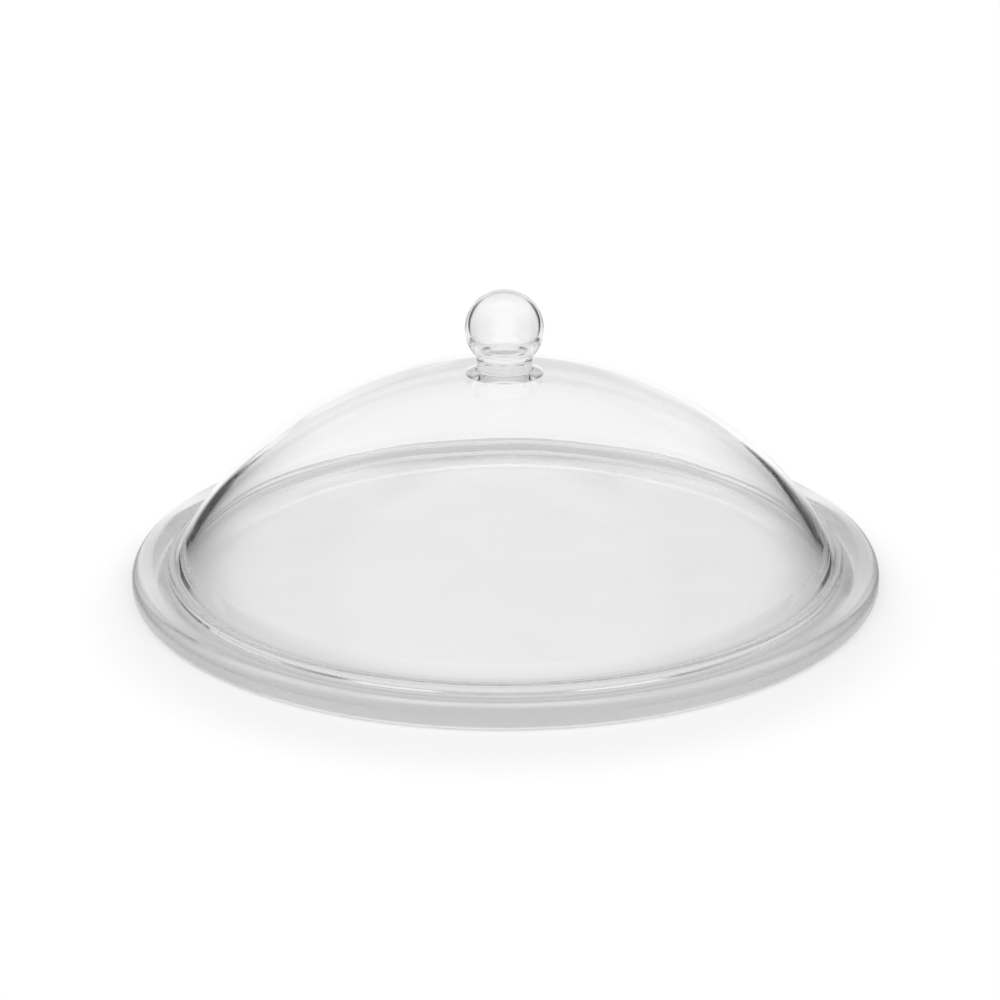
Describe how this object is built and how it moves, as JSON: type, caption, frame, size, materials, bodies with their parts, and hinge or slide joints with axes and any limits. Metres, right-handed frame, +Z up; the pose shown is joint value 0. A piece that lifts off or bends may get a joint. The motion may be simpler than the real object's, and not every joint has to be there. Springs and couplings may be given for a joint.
{
  "type": "glass dome with plate",
  "caption": "Low clear-glass dome with a hollow ball knob, standing loose on the ledge of a round glass plate with a raised, rounded rim.",
  "frame": {"origin": "centre of the plate's flat underside", "axes": "+Z up along the common axis of the plate, dome and knob; +X and +Y are any two directions across the plate, since the object is round"},
  "size_m": [0.3, 0.3, 0.117],
  "materials": {
    "pressed_glass": "clear, fire-polished, colourless",
    "blown_glass": "clear, fire-polished, colourless",
    "knob_glass": "clear, fire-polished, colourless"
  },
  "bodies": {
    "plate": {"glass_plate": "pressed_glass"},
    "cover": {"glass_dome": "blown_glass", "ball_knob": "knob_glass"}
  },
  "joints": [
    {"name": "cover_lift", "type": "slide", "parent": "plate", "child": "cover", "axis": [0, 0, 1], "range_m": [0, 0.15]}
  ]
}
